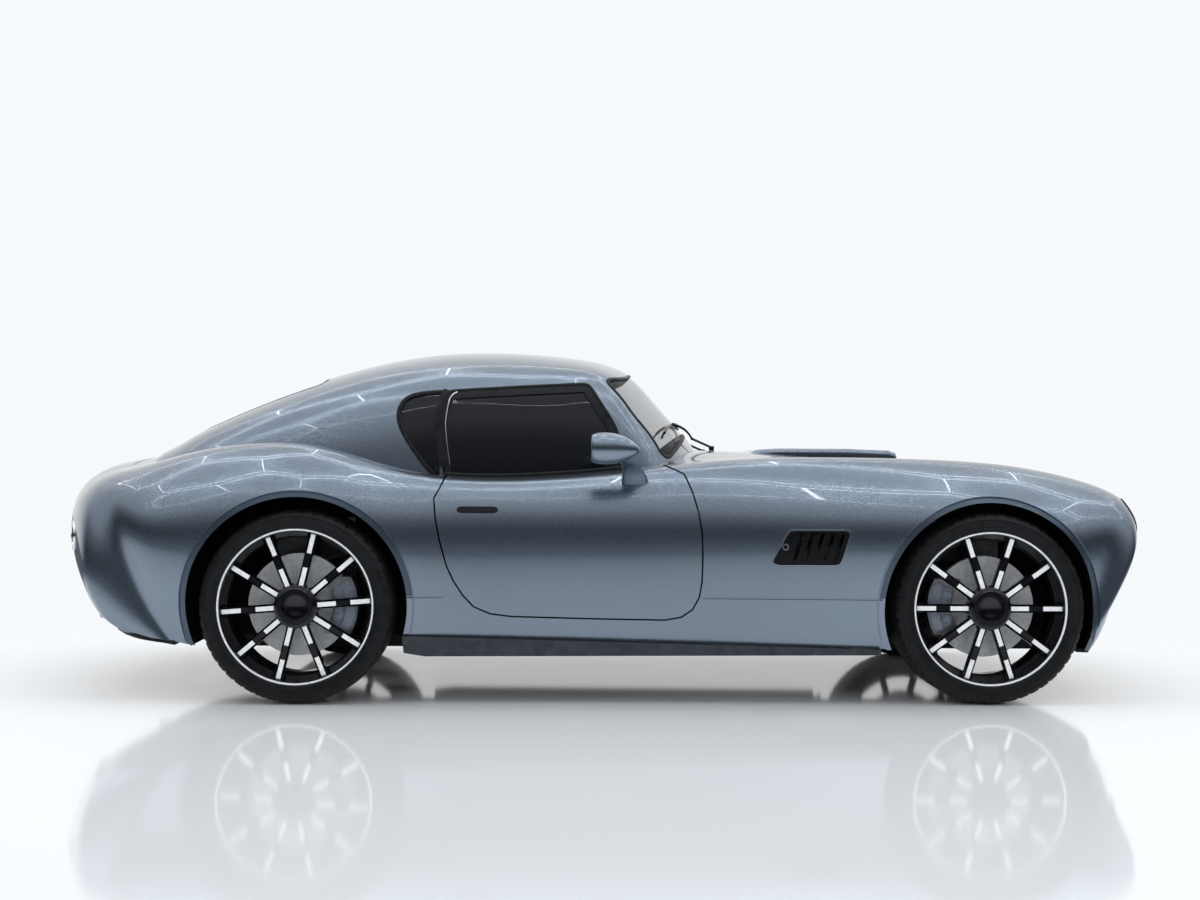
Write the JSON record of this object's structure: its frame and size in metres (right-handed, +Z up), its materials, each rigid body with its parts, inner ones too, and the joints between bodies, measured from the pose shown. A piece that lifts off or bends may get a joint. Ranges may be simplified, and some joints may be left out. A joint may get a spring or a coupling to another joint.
{
  "type": "coupe car",
  "caption": "Two-seat fastback coupe with rounded wings, spoked centre-lock wheels, opening doors, bonnet and boot lid, and steered front wheels.",
  "frame": {"origin": "on the ground, in the middle of the car's length and width", "axes": "+X to the nose, +Y to the car's left, +Z up"},
  "size_m": [4.2375, 2.0988, 1.341],
  "materials": {
    "body_paint": "metallic blue-grey paint under gloss lacquer",
    "black_trim": "black",
    "handle_black": "gloss black",
    "liner_plastic": "matt black",
    "dark_glass": "dark tint",
    "clear_glass": "clear",
    "lamp_glass": "clear lens",
    "tail_lens": "red lens",
    "frame_steel": "black chassis paint",
    "cast_alloy": "as cast",
    "drive_steel": "machined",
    "exhaust_steel": "polished",
    "seat_leather": "black grain",
    "dash_plastic": "soft black",
    "rim_leather": "stitched black",
    "tyre_rubber": "black rubber",
    "rim_black": "gloss black with machined bars",
    "disc_iron": "ground, drilled"
  },
  "bodies": {
    "body": {"boot_hinge_frame": "frame_steel", "chassis_frame": "frame_steel", "dashboard": "dash_plastic", "drive_axle": "drive_steel", "engine_block": "cast_alloy", "exhausts": "exhaust_steel", "floor_pan": "frame_steel", "front_body": "body_paint", "front_bulkhead": "frame_steel", "front_splitter": "black_trim", "front_suspension": "cast_alloy", "grille": "black_trim", "headlights": "lamp_glass", "hinge_posts": "frame_steel", "quarter_windows": "dark_glass", "radiator_support": "frame_steel", "rear_body": "body_paint", "rear_bulkhead": "frame_steel", "rear_diffuser": "black_trim", "rear_hubs": "cast_alloy", "rear_suspension": "cast_alloy", "rear_window": "clear_glass", "roof": "body_paint", "seats": "seat_leather", "side_skirts": "black_trim", "side_vents": "black_trim", "sills": "body_paint", "steering_wheel": "rim_leather", "tail_lights": "tail_lens", "wheel_arch_liners": "liner_plastic", "windscreen": "clear_glass", "wipers": "black_trim"},
    "door_left": {"door_left": "body_paint", "door_frame_left": "black_trim", "door_glass_left": "dark_glass", "door_handle_left": "handle_black", "mirror_left": "body_paint"},
    "door_right": {"door_right": "body_paint", "door_frame_right": "black_trim", "door_glass_right": "dark_glass", "door_handle_right": "handle_black", "mirror_right": "body_paint"},
    "bonnet": {"bonnet": "body_paint"},
    "boot_lid": {"boot_lid": "body_paint"},
    "knuckle_left": {"knuckle_front_left": "cast_alloy"},
    "knuckle_right": {"knuckle_front_right": "cast_alloy"},
    "wheel_front_left": {"tyre_front_left": "tyre_rubber", "rim_front_left": "rim_black", "brake_disc_front_left": "disc_iron"},
    "wheel_front_right": {"tyre_front_right": "tyre_rubber", "rim_front_right": "rim_black", "brake_disc_front_right": "disc_iron"},
    "wheel_rear_left": {"tyre_rear_left": "tyre_rubber", "rim_rear_left": "rim_black", "brake_disc_rear_left": "disc_iron"},
    "wheel_rear_right": {"tyre_rear_right": "tyre_rubber", "rim_rear_right": "rim_black", "brake_disc_rear_right": "disc_iron"}
  },
  "joints": [
    {"name": "door_left_hinge", "type": "hinge", "parent": "body", "child": "door_left", "pos_m": [0.368, 0.892, 0.566], "axis": [0, 0, -1], "range_deg": [0, 60]},
    {"name": "door_right_hinge", "type": "hinge", "parent": "body", "child": "door_right", "pos_m": [0.368, -0.892, 0.566], "axis": [0, 0, 1], "range_deg": [0, 60]},
    {"name": "bonnet_hinge", "type": "hinge", "parent": "body", "child": "bonnet", "pos_m": [1.693, 0, 0.868], "axis": [0, 1, 0], "range_deg": [0, 50]},
    {"name": "boot_hinge", "type": "hinge", "parent": "body", "child": "boot_lid", "pos_m": [-1.847, 0, 0.915], "axis": [0, 1, 0], "range_deg": [0, 60]},
    {"name": "steer_left", "type": "hinge", "parent": "body", "child": "knuckle_left", "pos_m": [1.44, 0.72, 0.358], "axis": [0, 0, 1], "range_deg": [-32, 32]},
    {"name": "spin_front_left", "type": "hinge", "parent": "knuckle_left", "child": "wheel_front_left", "pos_m": [1.44, 0.72, 0.358], "axis": [0, 1, 0], "continuous": true},
    {"name": "steer_right", "type": "hinge", "parent": "body", "child": "knuckle_right", "pos_m": [1.44, -0.72, 0.358], "axis": [0, 0, 1], "range_deg": [-32, 32]},
    {"name": "spin_front_right", "type": "hinge", "parent": "knuckle_right", "child": "wheel_front_right", "pos_m": [1.44, -0.72, 0.358], "axis": [0, 1, 0], "continuous": true},
    {"name": "spin_rear_left", "type": "hinge", "parent": "body", "child": "wheel_rear_left", "pos_m": [-1.13, 0.8, 0.358], "axis": [0, 1, 0], "continuous": true},
    {"name": "spin_rear_right", "type": "hinge", "parent": "body", "child": "wheel_rear_right", "pos_m": [-1.13, -0.8, 0.358], "axis": [0, 1, 0], "continuous": true}
  ],
  "couplings": [
    {"joint": "steer_right", "follows": "steer_left", "ratio": 1}
  ]
}
